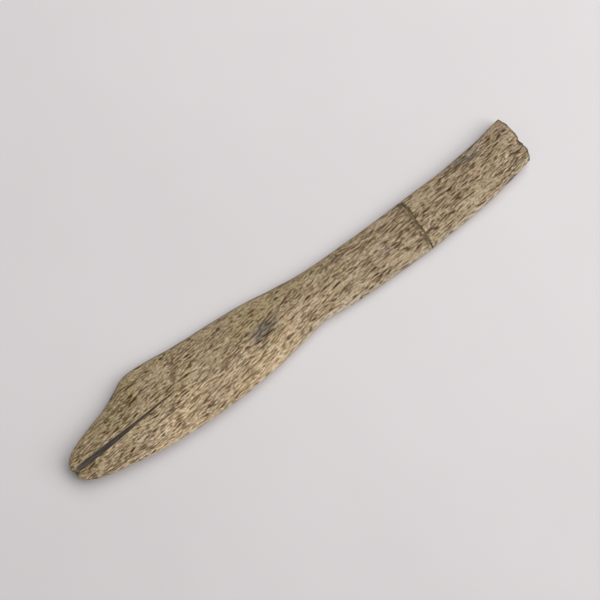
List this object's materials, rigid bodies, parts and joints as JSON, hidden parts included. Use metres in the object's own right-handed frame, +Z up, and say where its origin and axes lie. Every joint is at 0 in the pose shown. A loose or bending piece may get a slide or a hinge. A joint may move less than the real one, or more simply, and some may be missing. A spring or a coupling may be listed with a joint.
{
  "type": "bone folder",
  "caption": "Hand-carved bone folding tool: slender leaf-shaped blade slit at its rounded tip, narrow waist, flaring handle with a ragged end and a glued break.",
  "frame": {"origin": "middle of the tool's box, on the flat underside that it rests on", "axes": "+X runs along the tool from the blade's tip to the broken butt, +Z is up through the domed face, and +Y is to the left when looking along +X from above"},
  "size_m": [0.18, 0.0276, 0.0071],
  "materials": {
    "bone": "matte",
    "old_glue": "satin"
  },
  "bodies": {
    "root": {"blade_and_shaft": "bone", "butt_end": "bone", "glue_film": "old_glue"}
  },
  "joints": []
}
